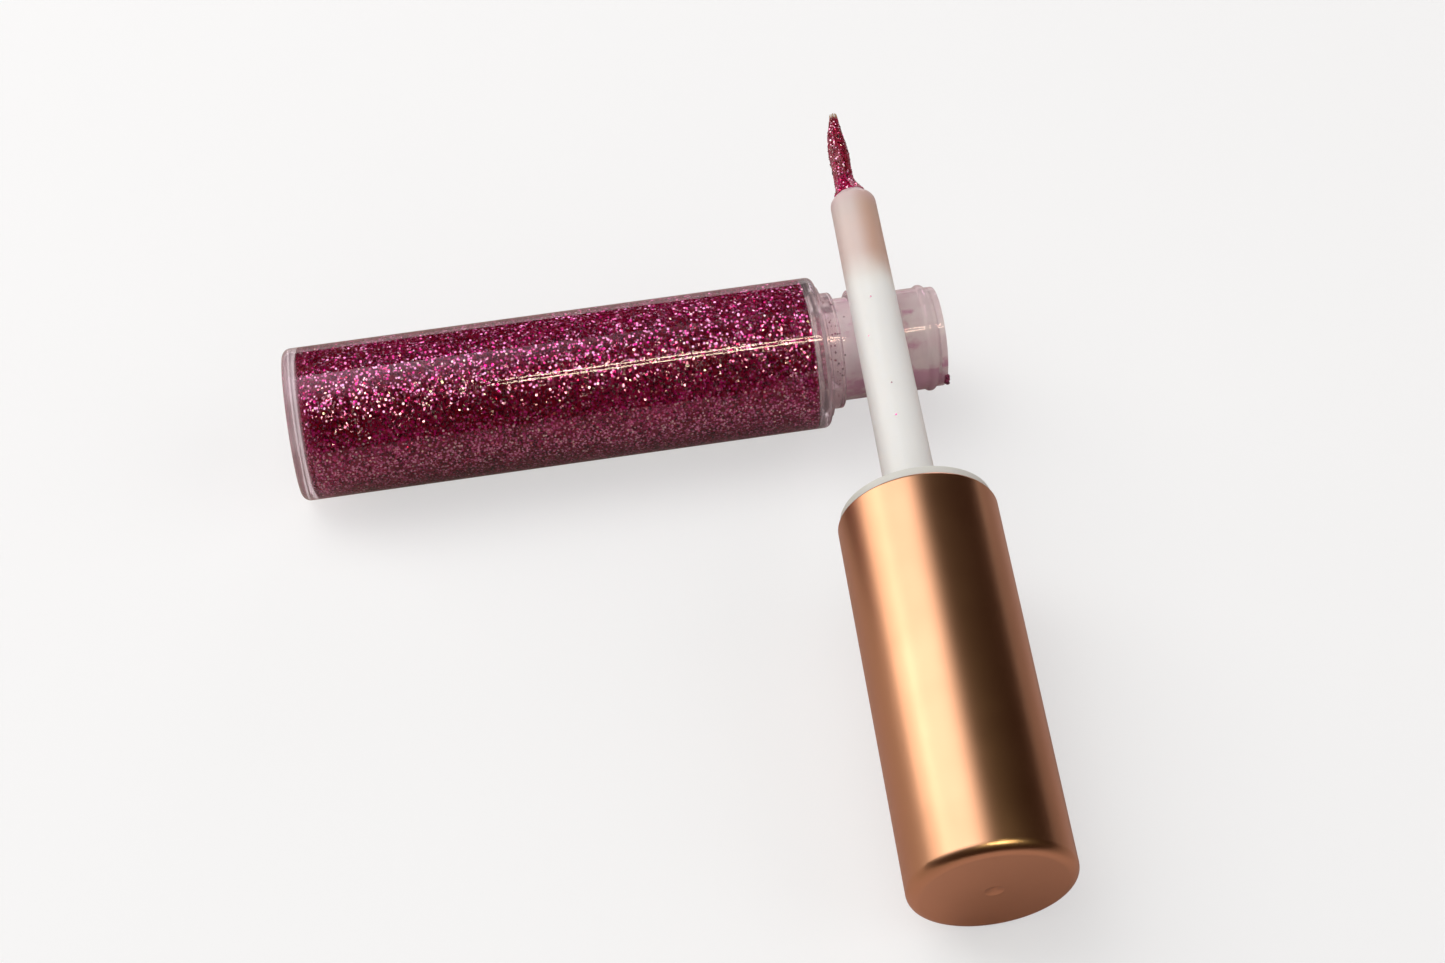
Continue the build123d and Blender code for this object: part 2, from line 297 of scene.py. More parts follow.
def along_axis(tree, place, start, axis):
    """Distance of a place along an axis, in metres, as a node output."""
    along = tree.add("ShaderNodeVectorMath", operation="DOT_PRODUCT")
    tree.put(tree.vector("SUBTRACT", place, tuple(start)), along.inputs[0])
    tree.put(tuple(axis), along.inputs[1])
    return along.outputs["Value"]


STAIN_FROM, STAIN_FULL = 14.0 * MM, 8.2 * MM       # below the stem's end
STAIN_WOBBLE = 1.2 * MM


def stem_plastic():
    """Milky rod, stained pink and light brown by the gloss towards the brush; the brown turns darker
    towards the rod's right side as painted shade.
    """
    made, tree = material("milky_stem")
    place = tree.position()
    wobble = tree.math("MULTIPLY", tree.noise(350, 2.0, 0.5, place), STAIN_WOBBLE)
    height = tree.math("ADD", along_axis(tree, place, APPLICATOR_START, APPLICATOR_AXIS), wobble)
    sideways = APPLICATOR_FRAME.to_3x3() @ Vector((-1, 0, 0))
    right = along_axis(tree, place, APPLICATOR_START, sideways)
    # Painted shade: the brown stain is made darker and browner towards the rod's right side, the side that
    # lies in shade.
    brown_stain_and_painted_shade = tree.mix(tree.ramp(right, -0.9 * MM, 1.2 * MM), (0.77, 0.63, 0.59), (0.66, 0.44, 0.35))
    blush = tree.mix(tree.ramp(height, STEM_END - 3 * MM, STEM_END + 1 * MM), brown_stain_and_painted_shade, (0.76, 0.53, 0.55))
    stain = tree.ramp(height, STEM_END - STAIN_FROM, STEM_END - STAIN_FULL)
    shader = principled(tree, {
        "Base Color": tree.mix(stain, (0.93, 0.94, 0.90), blush),
        "Roughness": 0.33,
        "Subsurface Weight": 0.7,
        "Subsurface Radius": (1.0, 0.95, 0.9),
        "Subsurface Scale": 0.003,
        "Normal": tree.bump(tree.noise(5000, 2.0, 0.5, place), 0.000004, 0.3),
    })
    tree.finish(shader)
    return made


def wiper_plastic():
    """Natural polyethylene, stained pink where gloss has run along it."""
    made, tree = material("natural_polyethylene")
    place = tree.position()
    smear = tree.noise(420, 3.0, 0.6, place)
    streak = tree.vector("MULTIPLY", place, (0.7, 1, 1))
    run = tree.noise(450, 3.0, 0.6, streak)
    front = along_axis(tree, place, BOTTLE_START, (0, -0.85, -0.5))
    low_side = tree.ramp(front, 2.2 * MM, 3.9 * MM, 0.0, 0.12)
    mask = tree.ramp(tree.math("ADD", run, low_side), 0.52, 0.68)
    tint = tree.mix(tree.ramp(smear, 0.35, 0.7), (0.88, 0.84, 0.82), (0.80, 0.68, 0.71))
    shader = principled(tree, {
        "Base Color": tree.mix(mask, tint, (0.64, 0.33, 0.47)),
        "Roughness": 0.35,
        "Subsurface Weight": 0.3,
        "Subsurface Radius": (1.0, 0.8, 0.8),
        "Subsurface Scale": 0.001,
    })
    tree.finish(shader)
    return made


def plain_metal():
    """Bright drawn metal of the ferrule."""
    made, tree = material("bright_ferrule")
    shader = principled(tree, {
        "Base Color": (0.8, 0.8, 0.8),
        "Metallic": 1.0,
        "Roughness": tree.ramp(tree.noise(2500), 0.3, 0.7, 0.2, 0.32),
    })
    tree.finish(shader)
    return made


def foam():
    """Off-white closed-cell foam of the seal."""
    made, tree = material("seal_foam")
    cells = tree.noise(6000, 3.0, 0.7)
    shader = principled(tree, {
        "Base Color": tree.mix(cells, (0.82, 0.81, 0.78), (0.9, 0.89, 0.86)),
        "Roughness": 0.8,
        "Normal": tree.bump(cells, 0.00002, 0.6),
    })
    tree.finish(shader)
    return made


def dried_gloss():
    """Dark crust of dried gloss with glints in it."""
    made, tree = material("dried_gloss")
    speck = tree.ramp(tree.noise(2500, 3.0), 0.45, 0.6)
    shader = principled(tree, {
        "Base Color": tree.mix(speck, (0.10, 0.004, 0.03), (0.42, 0.05, 0.16)),
        "Roughness": 0.45,
        "Normal": tree.bump(tree.noise(5000, 3.0), 0.00003, 0.7),
    })
    tree.finish(shader)
    return made


def wet_bristle():
    """Bristles wet with crimson gloss; their dry ends are pale brown."""
    made, tree = material("wet_bristle")
    place = tree.position()
    height = along_axis(tree, place, APPLICATOR_START, APPLICATOR_AXIS)
    dry = tree.ramp(height, BRUSH_TIP - 1.0 * MM, BRUSH_TIP - 0.2 * MM)
    cloud = tree.ramp(tree.noise(1200, 2.0, 0.5, place), 0.35, 0.65)
    gloss = tree.mix(cloud, (0.20, 0.001, 0.012), (0.36, 0.006, 0.045))
    shader = principled(tree, {
        "Base Color": tree.mix(dry, gloss, (0.50, 0.27, 0.08)),
        "Roughness": 0.25,
        "Coat Weight": 0.6,
        "Coat Roughness": 0.08,
    })
    tree.finish(shader)
    return made


def gloss_film():
    """Crimson gloss pooled where the brush leaves the stem; thin places let light through."""
    made, tree = material("gloss_film")
    cloud = tree.ramp(tree.noise(1400, 2.0), 0.35, 0.65)
    shader = principled(tree, {
        "Base Color": tree.mix(cloud, (0.30, 0.004, 0.04), (0.50, 0.03, 0.13)),
        "Roughness": 0.10,
        "IOR": 1.45,
        "Subsurface Weight": 0.5,
        "Subsurface Radius": (1.0, 0.2, 0.4),
        "Subsurface Scale": 0.001,
    })
    tree.finish(shader)
    return made


# ---------------------------------------------------------------- mesh helpers

def mesh_object(name, vertices, faces, surface, smooth=True):
    """Object in the scene from vertices in metres and faces that list their numbers."""
    mesh = bpy.data.meshes.new(name)
    mesh.from_pydata([tuple(vertex) for vertex in vertices], [], faces)
    mesh.materials.append(surface)
    if smooth:
        mesh.shade_smooth()
    else:
        mesh.shade_flat()
    made = bpy.data.objects.new(name, mesh)
    scene.collection.objects.link(made)
    return made


def ring_faces(near, far, steps):
    """Quads between two rings of vertices that start at these numbers."""
    pairs = ((step, (step + 1) % steps) for step in range(steps))
    return [(near + step, near + after, far + after, far + step) for step, after in pairs]


def round_shape(radius, angle, height):
    """Point of a plain solid of revolution."""
    return radius * math.cos(angle), radius * math.sin(angle), height


def turned(name, place, outline, surface, steps=96, shape=None):
    """Closed solid of revolution about local Z from (radius, height) points.

    An outline that starts and ends on the axis gives a solid, any other one a ring. A shape
    function may move each point: it gets radius, angle and height and gives back x, y, z.
    """
    shape = shape or round_shape
    solid = outline[0][0] == 0
    rings = outline[1:-1] if solid else outline
    vertices, faces = [], []
    for radius, height in rings:
        for step in range(steps):
            vertices.append(place @ Vector(shape(radius, 2 * math.pi * step / steps, height)))
    for row in range(len(rings) - 1):
        faces += ring_faces(row * steps, (row + 1) * steps, steps)
    last = (len(rings) - 1) * steps
    if not solid:
        faces += ring_faces(last, 0, steps)
        return mesh_object(name, vertices, faces, surface)
    for end in (0, -1):
        vertices.append(place @ Vector(shape(0, 0, outline[end][1])))
    for step in range(steps):
        after = (step + 1) % steps
        faces.append((len(vertices) - 2, after, step))
        faces.append((len(vertices) - 1, last + step, last + after))
    return mesh_object(name, vertices, faces, surface)


def rounded_outline(corners, radius, steps=6):
    """Outline of (radius, height) points with each inner corner rounded."""
    outline = [corners[0]]
    for before, corner, after in zip(corners, corners[1:], corners[2:]):
        corner = Vector(corner)
        back, ahead = Vector(before) - corner, Vector(after) - corner
        size = min(radius, back.length * 0.45, ahead.length * 0.45)
        start, end = corner + back.normalized() * size, corner + ahead.normalized() * size
        for step in range(steps + 1):
            share = step / steps
            point = start.lerp(corner, share).lerp(corner.lerp(end, share), share)
            outline.append((point.x, point.y))
    outline.append(corners[-1])
    return outline


FLAKE_THICKNESS = 0.012 * MM


def hexagon_plates(name, centres, normals, radii, colours, surface, generator):
    """Thin closed hexagonal plates, one for each centre, in one mesh."""
    count = len(centres)
    helper = np.where(np.abs(normals[:, :1]) < 0.8, [[1.0, 0, 0]], [[0, 1.0, 0]])
    across = np.cross(normals, helper)
    across /= np.linalg.norm(across, axis=1, keepdims=True)
    other = np.cross(normals, across)
    start = generator.uniform(0, math.pi / 3, count)
    rings = []
    for side in (-0.5, 0.5):
        for corner in range(6):
            angle = start + corner * math.pi / 3
            spoke = np.cos(angle)[:, None] * across + np.sin(angle)[:, None] * other
            rings.append(centres + spoke * radii[:, None] + normals * (side * FLAKE_THICKNESS))
    vertices = np.stack(rings, axis=1).reshape(-1, 3)
    pattern = [tuple(range(5, -1, -1)), tuple(range(6, 12))]
    pattern += [(k, (k + 1) % 6, (k + 1) % 6 + 6, k + 6) for k in range(6)]
    starts = range(0, 12 * count, 12)
    faces = [tuple(first + corner for corner in face) for first in starts for face in pattern]
    made = mesh_object(name, vertices, faces, surface, smooth=False)
    layer = made.data.color_attributes.new("flake_colour", "FLOAT_COLOR", "POINT")
    rgba = np.ones((count, 12, 4))
    rgba[:, :, :3] = colours[:, None, :]
    layer.data.foreach_set("color", rgba.ravel())
    return made


FLAKE_TINTS = np.array([
    (0.92, 0.40, 0.60),
    (0.88, 0.17, 0.43),
    (0.95, 0.64, 0.74),
    (0.72, 0.03, 0.15),
    (1.00, 0.70, 0.66),
])
FLAKE_SHARES = (0.38, 0.24, 0.18, 0.14, 0.06)


def around_axis(frame_matrix, angles, heights, distances):
    """Places at these angles, heights and distances round an axis, and the outward direction at each."""
    radial = np.stack([np.cos(angles), np.sin(angles), np.zeros(len(angles))], axis=1)
    local = radial * distances[:, None]
    local[:, 2] = heights
    turn = np.array(frame_matrix.to_3x3())
    return local @ turn.T + np.array(frame_matrix.translation), radial @ turn.T


def scattered_normals(normals, spread, generator):
    """Unit normals turned at random by about spread radians."""
    turned_by = normals + generator.normal(0, 1, normals.shape) * spread[:, None]
    return turned_by / np.linalg.norm(turned_by, axis=1, keepdims=True)


def flake_colours(count, generator):
    """One colour for each flake: a tint by its share, a little brighter or darker."""
    tints = FLAKE_TINTS[generator.choice(len(FLAKE_TINTS), count, p=FLAKE_SHARES)]
    return np.clip(tints * generator.uniform(0.8, 1.1, (count, 1)), 0, 1)


# ---------------------------------------------------------------- gel and its glitter

WET = 0.02 * MM                # how far gel and wiper reach into the clear wall, so that no air gap shows
GEL_HEAD = 0.9 * MM            # from the cavity's shoulder to the gel's level in the neck
NECK_BORE = 4.1 * MM
GEL_FLAKES = 8000
FLAT_SHARE = 0.75              # of the flakes, which lie nearly flat against the wall
FLAT_SPREAD, LOOSE_SPREAD = 0.10, 0.24


def build_gel():
    """Gel that wets the bottle's inner wall, with loose flakes lying in it just under the wall."""
    low, high = axial_range("gloss_fill", BOTTLE_START, BOTTLE_AXIS)
    wall = largest_radius("gloss_fill", BOTTLE_START, BOTTLE_AXIS)
    radius = wall + WET
    bore = NECK_BORE - 0.1 * MM
    floor_round = 3.5 * MM
    foot = rounded_outline([(0, low - WET), (radius, low - WET), (radius, low + 8 * MM)], floor_round)
    shoulder = high - GEL_HEAD
    head_corners = [
        (radius, high - 8 * MM), (radius, shoulder), (bore, shoulder + 0.6 * MM), (bore, high), (0, high),
    ]
    head = rounded_outline(head_corners, 0.4 * MM)
    gel = turned("glitter_gel", BOTTLE_FRAME, foot + head, glitter_gel())
    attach(gel, "bottle")
    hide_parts("gloss_fill")

    generator = np.random.default_rng(11)
    angles = generator.uniform(0, 2 * math.pi, GEL_FLAKES)
    heights = generator.uniform(low + 0.8 * MM, shoulder - 0.2 * MM, GEL_FLAKES)
    distances = radius + generator.uniform(-0.02, 0.05, GEL_FLAKES) * MM
    centres, outward = around_axis(BOTTLE_FRAME, angles, heights, distances)
    is_flat = generator.uniform(0, 1, GEL_FLAKES) < FLAT_SHARE
    normals = scattered_normals(outward, np.where(is_flat, FLAT_SPREAD, LOOSE_SPREAD), generator)
    radii = generator.uniform(0.085, 0.135, GEL_FLAKES) * MM
    tints = flake_colours(GEL_FLAKES, generator)
    flakes = hexagon_plates("gel_flakes", centres, normals, radii, tints, FLAKE_METAL, generator)
    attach(flakes, "bottle")


# ---------------------------------------------------------------- wiper and traces of gloss

def build_wiper():
    """Moulded sleeve with rounded edges, pressed tight against the neck's bore."""
    low, high = axial_range("wiper", BOTTLE_START, BOTTLE_AXIS)
    outer = NECK_BORE + WET
    bore, lip_bore, lip_wall = 3.5 * MM, 2.7 * MM, 0.45 * MM
    rim, rim_low = 4.6 * MM + WET, high - 0.6 * MM - WET
    sleeve_low = high - 11.2 * MM
    lip_high = sleeve_low - 0.9 * MM
    corners = [
        (rim - 0.4 * MM, high), (rim, high), (rim, rim_low), (outer, rim_low), (outer, sleeve_low),
        (lip_bore + lip_wall, lip_high), (lip_bore + lip_wall, low), (lip_bore, low), (lip_bore, lip_high),
        (bore, sleeve_low), (bore, high), (rim - 0.6 * MM, high),
    ]
    wiper = turned("wiper_sleeve", BOTTLE_FRAME, rounded_outline(corners, 0.12 * MM), wiper_plastic())
    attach(wiper, "bottle")
    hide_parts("wiper")


def placed_flakes(name, body, frame_matrix, angles, heights, distances, spread, tints, seed):
    """Loose flakes at these places round an axis, riding on a body."""
    generator = np.random.default_rng(seed)
    count = len(angles)
    centres, outward = around_axis(frame_matrix, angles, heights, distances)
    normals = scattered_normals(outward, np.full(count, spread), generator)
    radii = generator.uniform(0.07, 0.125, count) * MM
    flakes = hexagon_plates(name, centres, normals, radii, tints, FLAKE_METAL, generator)
    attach(flakes, body)
    return flakes


BOTTLE_LENGTH = bottle_high.x - BOTTLE_START.x
BOTTLE_LIP_RADIUS = 5.2 * MM
FLANGE_DEPTH = 11.9            # below the mouth, in mm
STEM_LENGTH = 41.7 * MM
STEM_TIP_RADIUS = 2.42 * MM
STEM_TAPER = 0.2 * MM
FLAKE_LIFT = 0.004 * MM        # how far a flake on the stem stands off it
NECK_FLAKES = 60
STEM_FLAKES = 4
LUMPS = 14


def build_traces():
    """Flakes stuck in the neck and on the stem, and dried gloss on the lip."""
    generator = np.random.default_rng(23)
    angles = generator.uniform(-0.9, 2.0, NECK_FLAKES)
    heights = BOTTLE_LENGTH - generator.normal(FLANGE_DEPTH, 0.45, NECK_FLAKES) * MM
    distances = np.full(NECK_FLAKES, NECK_BORE + 0.06 * MM)
    tints = flake_colours(NECK_FLAKES, generator) * 0.6
    flakes = placed_flakes(
        "neck_flakes", "bottle", BOTTLE_FRAME, angles, heights, distances, 0.2, tints, 24)

    angles = generator.uniform(-0.3, 0.3, STEM_FLAKES) + math.radians(70)
    heights = STEM_END - generator.uniform(1.5, 34, STEM_FLAKES) * MM
    distances = STEM_TIP_RADIUS + STEM_TAPER * (STEM_END - heights) / STEM_LENGTH + FLAKE_LIFT
    tints = flake_colours(STEM_FLAKES, generator)
    flakes = placed_flakes(
        "stem_flakes", "applicator", APPLICATOR_FRAME, angles, heights, distances, 0.03, tints, 25)
    build_dried_gloss(generator)


def build_dried_gloss(generator):
    """Lumps of dried gloss on the bottle's lip."""
    lumps = bmesh.new()
    for _ in range(LUMPS):
        angle = math.radians(generator.uniform(98, 116))
        size = generator.uniform(0.10, 0.24) * MM
        radius = BOTTLE_LIP_RADIUS + generator.uniform(-0.10, 0.16) * MM
        height = BOTTLE_LENGTH + generator.uniform(-0.25, 0.12) * MM
        centre = BOTTLE_FRAME @ Vector(round_shape(radius, angle, height))
        stretch = Matrix.Diagonal((*generator.uniform(0.7, 1.5, 3), 1))
        place = Matrix.Translation(centre) @ stretch
        bmesh.ops.create_icosphere(lumps, subdivisions=3, radius=size, matrix=place)
    for vertex in lumps.verts:
        vertex.co += Vector(generator.normal(0, 0.008, 3)) * MM
    mesh = bpy.data.meshes.new("dried_gloss")
    lumps.to_mesh(mesh)
    lumps.free()
    mesh.materials.append(dried_gloss())
    mesh.shade_smooth()
    dried = bpy.data.objects.new("dried_gloss", mesh)
    scene.collection.objects.link(dried)
    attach(dried, "bottle")


# ---------------------------------------------------------------- cap

INNER_CAP_BORE = 6.35 * MM
RIM_PROUD = 1.0 * MM


def build_cap_rim(surface):
    """Moulded rim of the white inner cap, which shows beyond the edge of the metal shell."""
    shell_edge = axial_range("cap_shell", APPLICATOR_START, APPLICATOR_AXIS)[1]
    outer = largest_radius("inner_cap", APPLICATOR_START, APPLICATOR_AXIS) + WET
    bore = INNER_CAP_BORE - WET
    low, high = shell_edge + WET, shell_edge + RIM_PROUD
    corners = [
        (outer - 0.4 * MM, high), (outer, high), (outer, low), (bore, low), (bore, high),
        (outer - 0.6 * MM, high),
    ]
    rim = turned("inner_cap_rim", APPLICATOR_FRAME, rounded_outline(corners, 0.2 * MM), surface)
    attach(rim, "applicator")


# ---------------------------------------------------------------- brush

# The tuft's radii in mm at shares of its length, and the shares over which they are averaged.
BRUSH_SHARES = (0, 0.15, 0.3, 0.52, 0.75, 0.92, 1)
BRUSH_RADII = (1.05, 1.03, 0.97, 1.08, 0.80, 0.46, 0.24)
SMOOTHING = np.linspace(-0.07, 0.07, 9)

# Radii of the pooled gloss at heights above the stem's end, both in mm.
POOL_HEIGHTS = (-0.5, -0.2, 0.0, 0.35, 0.7, 1.05, 1.4, 2.1, 2.4, 2.5)
POOL_RADII = (1.70, 1.70, 1.64, 1.50, 1.36, 1.24, 1.15, 1.05, 1.0, 0.0)

TWIST = 90                     # radians in a metre of tuft
WIDE_GROOVE, FINE_GROOVE = 0.035, 0.02


def smoothstep(value, low, high):
    """0 below low, 1 above high, and a smooth step between them."""
    share = min(max((value - low) / (high - low), 0), 1)
    return share * share * (3 - 2 * share)


def brush_share(height):
    """0 at the stem's end, 1 at the brush's tip."""
    return (height - STEM_END) / (BRUSH_TIP - STEM_END)


def brush_radius(height):
    """Radius of the wet tuft at a height: slight waist, full belly, narrow tip."""
    return float(np.mean(np.interp(brush_share(height) + SMOOTHING, BRUSH_SHARES, BRUSH_RADII))) * MM


def brush_lean(height):
    """How far the tuft leans to one side at a height."""
    share = brush_share(height)
    return (0.15 + 0.28 * smoothstep(share, 0, 0.2) - 0.22 * smoothstep(share, 0.7, 1)) * MM


def tuft_shape(factor, angle, height):
    """Point on the tuft's surface, which has the shallow grooves of bristles stuck together."""
    twist = height * TWIST
    wide = WIDE_GROOVE * math.cos(7 * angle + twist)
    fine = FINE_GROOVE * math.cos(13 * angle - 2 * twist)
    groove = 1 + wide + fine
    x, y, z = round_shape(factor * brush_radius(height) * groove, angle, height)
    return x + brush_lean(height), y, z


def outer_factor(height):
    """Outside of the gloss, as a share of the tuft's radius: it pools where the tuft leaves the stem."""
    pool = float(np.interp((height - STEM_END) / MM, POOL_HEIGHTS, POOL_RADII)) * MM
    return max(1.03, pool / brush_radius(height))


def strand(path, radii, sides=5):
    """Vertices and faces of one thin closed bristle along a list of points."""
    vertices, faces = [], []
    for number, (point, radius) in enumerate(zip(path, radii)):
        ahead = path[min(number + 1, len(path) - 1)] - path[max(number - 1, 0)]
        turn = ahead.to_track_quat("Z", "X")
        for side in range(sides):
            vertices.append(point + turn @ Vector(round_shape(radius, 2 * math.pi * side / sides, 0)))
    for row in range(len(path) - 1):
        faces += ring_faces(row * sides, (row + 1) * sides, sides)
    last = (len(path) - 1) * sides
    faces.append(tuple(range(sides - 1, -1, -1)))
    faces.append(tuple(range(last, last + sides)))
    return vertices, faces


CORE_ROWS = 70
BRISTLES = 120
BRISTLE_STEPS = 24
ROOT_RADIUS = 1.03 * MM
SINK = 0.2 * MM                # the tuft's visible shape starts this far inside the stem's end
BRUSH_FLAKES = 1100


def core_shape(factor, angle, height):
    """Point on the core: a plain rod inside the stem, the tuft's shape outside it."""
    if height < STEM_END - SINK:
        return round_shape(min(factor, 1) * ROOT_RADIUS, angle, height)
    return tuft_shape(factor, angle, height)


def bristle(generator, number):
    """Path and radii of one bristle stuck to the tuft, its end a little loose."""
    angle = 2 * math.pi * (number + generator.uniform(-0.4, 0.4)) / BRISTLES
    drift = generator.normal(0, 0.25)
    factor = generator.uniform(0.96, 1.03)
    end = BRUSH_TIP - abs(generator.normal(0, 0.30)) * MM
    stray = generator.uniform(0, 0.12) * MM
    path, radii = [], []
    for step in range(BRISTLE_STEPS + 1):
        share = step / BRISTLE_STEPS
        height = STEM_END + (end - STEM_END) * share
        x, y, z = tuft_shape(factor, angle + drift * share, height)
        loose = stray * smoothstep(share, 0.85, 1)
        point = Vector((x + loose * math.cos(angle), y + loose * math.sin(angle), z))
        path.append(APPLICATOR_FRAME @ point)
        radii.append((0.040 - 0.022 * share) * MM)
    return path, radii


def build_core(wet):
    """Core of the tuft, all its bristles stuck together, rooted in the stem."""
    root, tip = STEM_END - 3.4 * MM, BRUSH_TIP - 0.35 * MM
    outline = [(0, root)]
    for row in range(CORE_ROWS + 1):
        height = root + (tip - root) * row / CORE_ROWS
        outline.append((1 - 0.45 * smoothstep(height, tip - 0.5 * MM, tip), height))
    outline.append((0, tip + 0.05 * MM))
    core = turned("brush_core", APPLICATOR_FRAME, outline, wet, steps=64, shape=core_shape)
    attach(core, "applicator")
    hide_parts("brush_tuft")


def build_bristles(generator, wet):
    """Single bristles lying on the core, all in one mesh."""
    vertices, faces = [], []
    for number in range(BRISTLES):
        made, joined = strand(*bristle(generator, number))
        faces += [tuple(corner + len(vertices) for corner in face) for face in joined]
        vertices += made
    bristles = mesh_object("brush_bristles", vertices, faces, wet)
    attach(bristles, "applicator")


def build_brush_flakes(generator):
    """Flakes in the gloss that coats the tuft."""
    angles = generator.uniform(0, 2 * math.pi, BRUSH_FLAKES)
    heights = STEM_END - SINK + (BRUSH_TIP - STEM_END) * generator.uniform(0, 0.97, BRUSH_FLAKES)
    surface = np.array([
        tuft_shape(outer_factor(height), angle, height) for angle, height in zip(angles, heights)])
    turn = np.array(APPLICATOR_FRAME.to_3x3())
    centres = surface @ turn.T + np.array(APPLICATOR_FRAME.translation)
    outward = np.stack([np.cos(angles), np.sin(angles), np.zeros(BRUSH_FLAKES)], axis=1) @ turn.T
    normals = scattered_normals(outward, np.full(BRUSH_FLAKES, 0.28), generator)
    radii = generator.uniform(0.07, 0.12, BRUSH_FLAKES) * MM
    tints = flake_colours(BRUSH_FLAKES, generator)
    flakes = hexagon_plates("brush_flakes", centres, normals, radii, tints, FLAKE_METAL, generator)
    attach(flakes, "applicator")


def build_collar():
    """Film of gloss pooled round the tuft's root, reaching over the end of the stem."""
    heights = [height * MM for height in np.linspace(-0.5, 2.4, 14)]
    ring = [(outer_factor(STEM_END + height) - 0.01, STEM_END + height) for height in heights]
    ring += [(0.8, STEM_END + heights[-1]), (0.8, STEM_END + heights[0])]
    collar = turned("gloss_collar", APPLICATOR_FRAME, ring, gloss_film(), steps=64, shape=tuft_shape)
    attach(collar, "applicator")


def build_brush():
    """Wet tuft: core of stuck bristles, single bristles on it, flakes, and the film at its root."""
    generator = np.random.default_rng(31)
    wet = wet_bristle()
    build_core(wet)
    build_bristles(generator, wet)
    build_brush_flakes(generator)
    build_collar()


# ---------------------------------------------------------------- camera, light and floor

CAMERA_PLACE = (-12.97 * MM, -174.65 * MM, 212.13 * MM)
CAMERA_TURN = (math.radians(41.778), math.radians(2.044), math.radians(-9.044))
CAMERA_LENS = 67.24
SENSOR_WIDTH = 36.0


def build_camera():
    """Camera in front of the bottle, looking down on it at about 48 degrees."""
    data = bpy.data.cameras.new("camera")
    data.sensor_fit = "HORIZONTAL"
    data.sensor_width = SENSOR_WIDTH
    data.lens = CAMERA_LENS
    data.clip_start = 0.01
    camera = bpy.data.objects.new("camera", data)
    camera.location = CAMERA_PLACE
    camera.rotation_euler = Euler(CAMERA_TURN)
    scene.collection.objects.link(camera)
    scene.camera = camera


def area_light(name, place, target, size, power, colour, size_y=None):
    """Rectangular lamp at a place, facing a target: metres and watts."""
    data = bpy.data.lights.new(name, "AREA")
    data.shape = "RECTANGLE"
    data.size = size
    data.size_y = size if size_y is None else size_y
    data.energy = power
    data.color = colour
    light = bpy.data.objects.new(name, data)
    light.location = place
    light.rotation_euler = (Vector(target) - Vector(place)).to_track_quat("-Z", "Y").to_euler()
    scene.collection.objects.link(light)
    return light


def fade_out(light, fades):
    """Dims a light's panel along its sides: for each axis, the shares where it is full and where gone."""
    tree = Tree(light.data)
    place = tree.add("ShaderNodeNewGeometry").outputs["Parametric"]
    shares = tree.add("ShaderNodeSeparateXYZ", {"Vector": place}).outputs
    glow = 1.0
    for axis, (full, gone) in fades.items():
        glow = tree.math("MULTIPLY", glow, tree.ramp(shares[axis], full, gone, 1.0, 0.0))
    emission = tree.add("ShaderNodeEmission", {"Strength": glow}).outputs[0]
    tree.finish(emission, "ShaderNodeOutputLight")


def build_lights():
    """Softbox, two windows and a twin tube that show in reflections, and broad fills that do not."""
    softbox = area_light(
        "softbox", (-0.48, 0.235, 0.60), (-0.48, 0.235, 0.0), 1.12, 4.2, (1.0, 1.0, 1.0), size_y=0.53)
    softbox.rotation_euler = (0, 0, math.radians(-17))
    fade_out(softbox, {"X": (0.77, 1.0), "Y": (0.35, 0.0)})
    area_light("window", (-0.92, 0.74, 0.42), (0.0, 0.0, 0.06), 0.75, 3.0, (1.0, 0.96, 0.90), size_y=0.62)
    area_light("low_window", (0.36, 0.88, 0.22), (0.0, 0.0, 0.0), 0.32, 1.0, (1.0, 0.90, 1.0))
    fills = (
        ("fill", (-0.5, 0.2, 1.6), 2.6, 17.0),
        ("side_fill", (1.3, -0.5, 0.7), 1.4, 8.0),
        ("front_fill", (0.1, -1.3, 0.5), 1.2, 4.5),
    )
    for name, place, size, power in fills:
        fill = area_light(name, place, (0, 0, 0), size, power, (1.0, 0.985, 0.97))
        fill.visible_glossy = False
        fill.visible_transmission = False
    for side, shift in (("near", -0.0235), ("far", 0.0235)):
        place = (0.1255, -0.16 + shift, 0.45)
        tube = area_light(
            f"tube_{side}", place, (0.1255, 0.0, 0.01), 0.27, 0.27, (0.92, 1.0, 0.60), size_y=0.014)
        tube.visible_diffuse = False


THROUGH_PLASTIC = 0.9


def seen_share(tree):
    """1 for what is seen directly, less for what shows through clear plastic, 0 for reflections."""
    path = tree.add("ShaderNodeLightPath").outputs
    bounces = tree.math("ADD", path["Glossy Depth"], path["Diffuse Depth"])
    unbounced = tree.math("LESS_THAN", bounces, 0.5)
    through = tree.math("MULTIPLY", path["Is Transmission Ray"], unbounced)
    return tree.math("MAXIMUM", path["Is Camera Ray"], tree.math("MULTIPLY", through, THROUGH_PLASTIC))


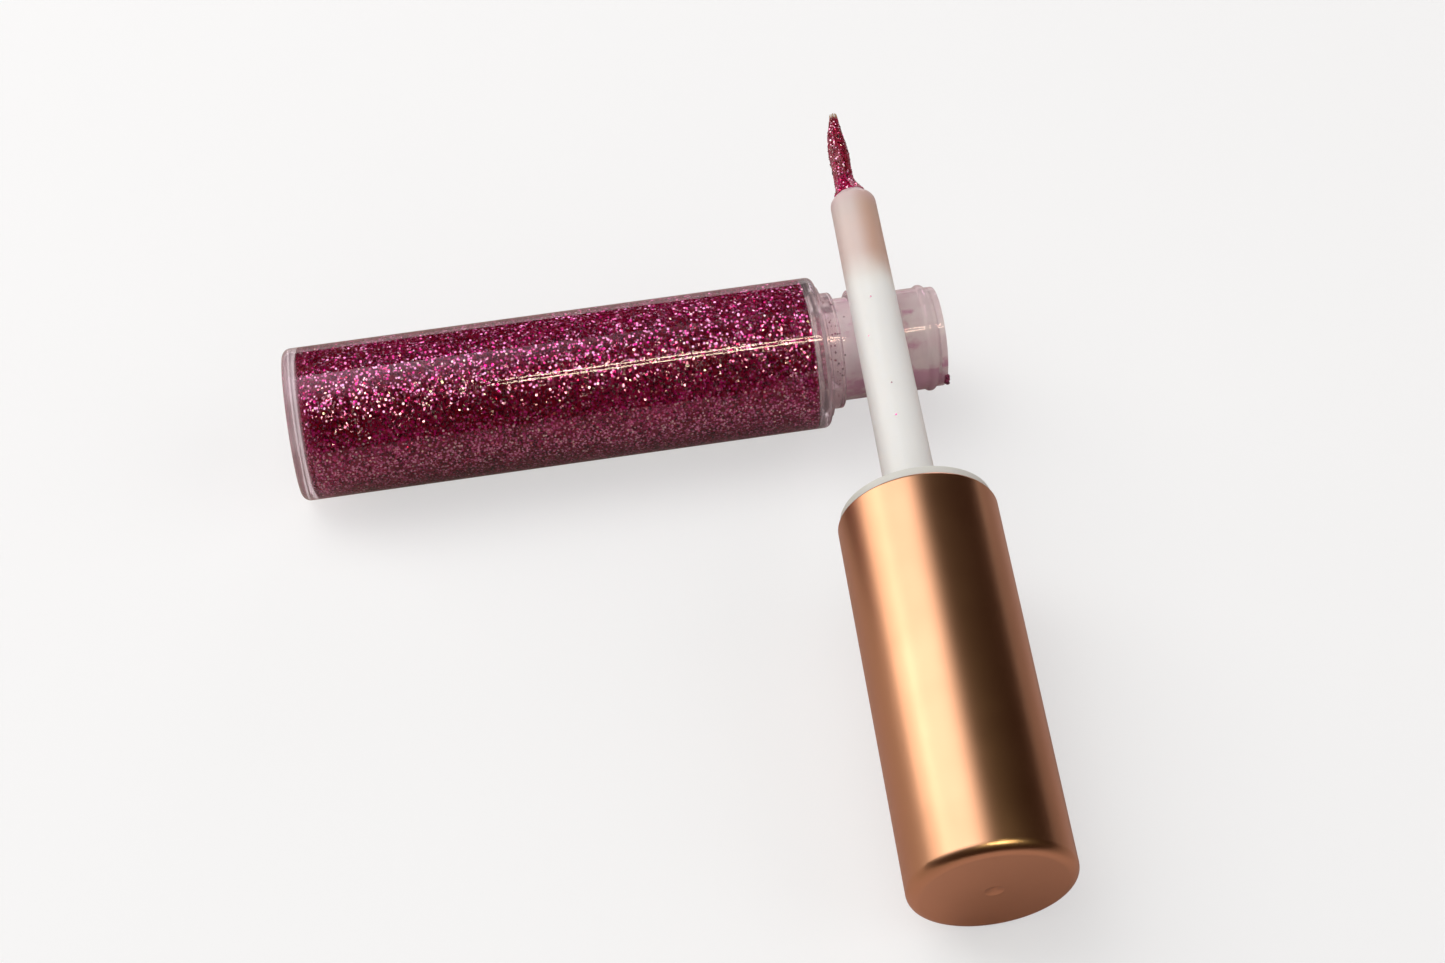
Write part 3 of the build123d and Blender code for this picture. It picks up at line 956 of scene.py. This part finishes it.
def build_world():
    """Pale where it is seen, dim and warm in reflections."""
    world = bpy.data.worlds.new("studio")
    scene.world = world
    tree = Tree(world)
    seen = seen_share(tree)
    dim = tree.add("ShaderNodeBackground", {"Color": (1.0, 0.4, 0.2), "Strength": 0.02}).outputs[0]
    pale = tree.add("ShaderNodeBackground", {"Color": (1, 1, 1), "Strength": 0.96}).outputs[0]
    tree.finish(tree.mix_shaders(seen, dim, pale), "ShaderNodeOutputWorld")


FLOOR_SIZE = 6.0


def build_floor():
    """Plain pale floor with a faint shadow; reflections see it as a darker, warmer table, lighter round
    the middle, with painted shade beyond x = 0.045 m and painted light behind the bottle.
    """
    made, tree = material("pale_floor")
    seen = seen_share(tree)
    cloud = tree.noise(3.0, 2.0)
    place = tree.add("ShaderNodeSeparateXYZ", {"Vector": tree.position()}).outputs
    table = tree.mix(cloud, (0.41, 0.335, 0.285), (0.44, 0.36, 0.31))
    # Lighter band round x = 0.
    table = tree.mix(tree.ramp(place["X"], -0.02, 0.02), table, (0.49, 0.385, 0.36))
    # Painted shade: beyond x = 0.045 m the table turns dark, the shade that shows in the cap's
    # reflections.
    table = tree.mix(tree.ramp(place["X"], 0.045, 0.07), table, (0.29, 0.23, 0.21))
    # Painted light: behind the bottle, past y = 0.05 m, the table turns near white, as if window light
    # falls on it.
    table = tree.mix(tree.ramp(place["Y"], 0.05, 0.16), table, (0.9, 0.87, 0.85))
    reflected = principled(tree, {"Base Color": table, "Roughness": 0.9})
    pale = principled(tree, {
        "Base Color": tree.mix(cloud, (0.45, 0.45, 0.45), (0.46, 0.46, 0.46)),
        "Roughness": 0.9,
        "Specular IOR Level": 0.0,
        "Emission Color": (1, 1, 1),
        "Emission Strength": 0.52,
    })
    tree.finish(tree.mix_shaders(seen, reflected, pale))
    half = FLOOR_SIZE / 2
    corners = [(-half, -half, 0), (half, -half, 0), (half, half, 0), (-half, half, 0)]
    floor = mesh_object("floor", corners, [(0, 1, 2, 3)], made)


def dress(node, surface):
    """Gives a CAD node its finished material."""
    target = frame["nodes"][node]
    for place in target.material_slots:
        place.material = surface


FLAKE_METAL = flake_metal()
WHITE_PLASTIC = white_plastic()
dress("bottle", clear_plastic())
dress("cap_shell", copper())
dress("inner_cap", WHITE_PLASTIC)
dress("seal_ring", foam())
dress("stem", stem_plastic())
dress("brush_ferrule", plain_metal())
build_gel()
build_wiper()
build_traces()
build_cap_rim(WHITE_PLASTIC)
build_brush()
build_camera()
build_lights()
build_world()
build_floor()
scene.view_settings.view_transform = "Standard"
scene.view_settings.look = "None"
